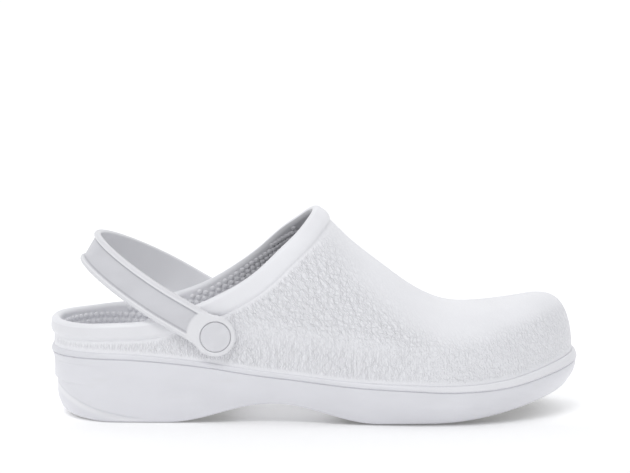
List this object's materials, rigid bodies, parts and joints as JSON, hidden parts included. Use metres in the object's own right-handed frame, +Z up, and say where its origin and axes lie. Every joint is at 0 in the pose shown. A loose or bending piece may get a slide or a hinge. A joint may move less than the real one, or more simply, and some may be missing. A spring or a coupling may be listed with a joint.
{
  "type": "chef clog",
  "caption": "Closed-toe moulded work clog for the right foot with an open heel, a swinging heel strap on round rivets and rubber tread pads.",
  "frame": {"origin": "under the middle of the shoe's box, on the floor that it stands on", "axes": "+X towards the toe, +Z up, the foot's outer side towards -Y"},
  "size_m": [0.288, 0.107, 0.1136],
  "materials": {
    "upper_foam": "satin moulded foam with a pebbled leather grain",
    "sole_foam": "smooth satin moulded foam",
    "footbed_foam": "matte foam with small round nubs",
    "tread_rubber": "matte rubber",
    "strap_foam": "smooth satin moulded foam",
    "button_plastic": "smooth satin plastic"
  },
  "bodies": {
    "root": {"upper": "upper_foam", "sole": "sole_foam", "insole": "footbed_foam", "outsole_heel": "tread_rubber", "outsole_forefoot": "tread_rubber", "heel_strap": "strap_foam", "button_outer": "button_plastic", "button_inner": "button_plastic", "washer_outer": "button_plastic", "washer_inner": "button_plastic"}
  },
  "joints": []
}
